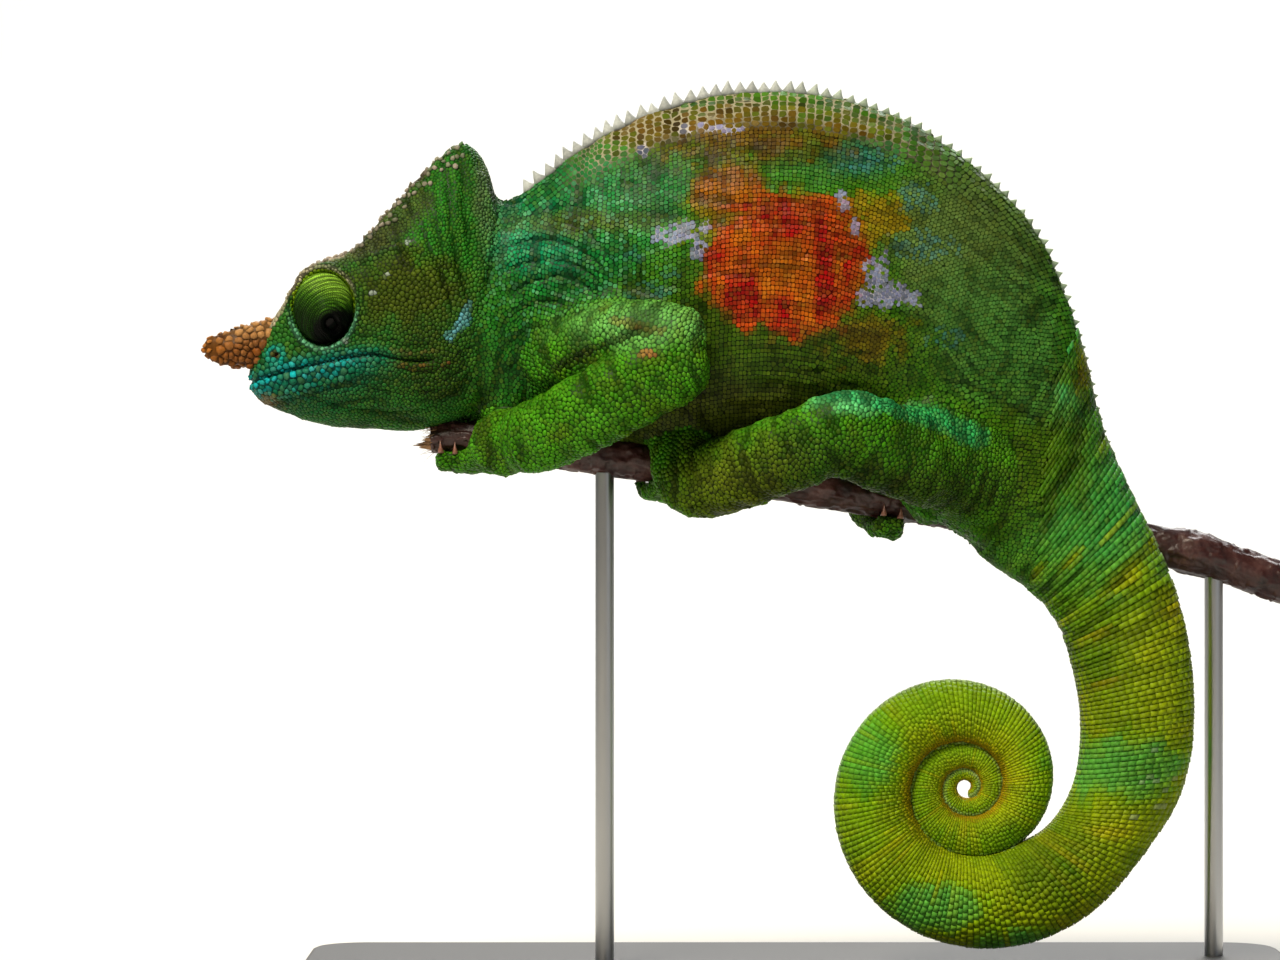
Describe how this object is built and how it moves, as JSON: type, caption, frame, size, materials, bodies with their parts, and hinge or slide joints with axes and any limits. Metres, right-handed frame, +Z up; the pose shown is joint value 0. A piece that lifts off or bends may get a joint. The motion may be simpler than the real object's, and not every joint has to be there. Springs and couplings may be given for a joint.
{
  "type": "parson's chameleon",
  "caption": "Life-size still model of a horned male chameleon gripping a cut branch, tail coiled in a spiral, on a flat base with two rods.",
  "frame": {"origin": "centre of the base's underside", "axes": "+X towards the tail, +Y towards the animal's right side, +Z up"},
  "size_m": [0.2338, 0.096, 0.194],
  "materials": {
    "skin_body": "matt scaly skin",
    "skin_head": "matt scaly skin",
    "skin_tail": "matt scaly skin",
    "skin_limb": "matt scaly skin",
    "eye": "satin",
    "horn": "rough horn",
    "bark": "bark",
    "stand": "satin black",
    "rod": "brushed"
  },
  "bodies": {
    "root": {"casque": "skin_head", "eye_left": "eye", "eye_right": "eye", "forefoot_left": "skin_limb", "forefoot_right": "skin_limb", "foreleg_left_lower": "skin_limb", "foreleg_left_upper": "skin_limb", "foreleg_right_lower": "skin_limb", "foreleg_right_upper": "skin_limb", "head": "skin_head", "hindfoot_left": "skin_limb", "hindfoot_right": "skin_limb", "hindleg_left_lower": "skin_limb", "hindleg_left_upper": "skin_limb", "hindleg_right_lower": "skin_limb", "hindleg_right_upper": "skin_limb", "horn_left": "horn", "horn_right": "horn", "lower_jaw": "skin_head", "neck": "skin_body", "pelvis": "skin_body", "perch": "bark", "stand_base": "stand", "stand_rod_front": "rod", "stand_rod_rear": "rod", "tail_base": "skin_tail", "tail_bend": "skin_tail", "tail_coil_inner": "skin_tail", "tail_coil_middle": "skin_tail", "tail_coil_outer": "skin_tail", "tail_drop": "skin_tail", "torso_front": "skin_body", "torso_rear": "skin_body"}
  },
  "joints": []
}
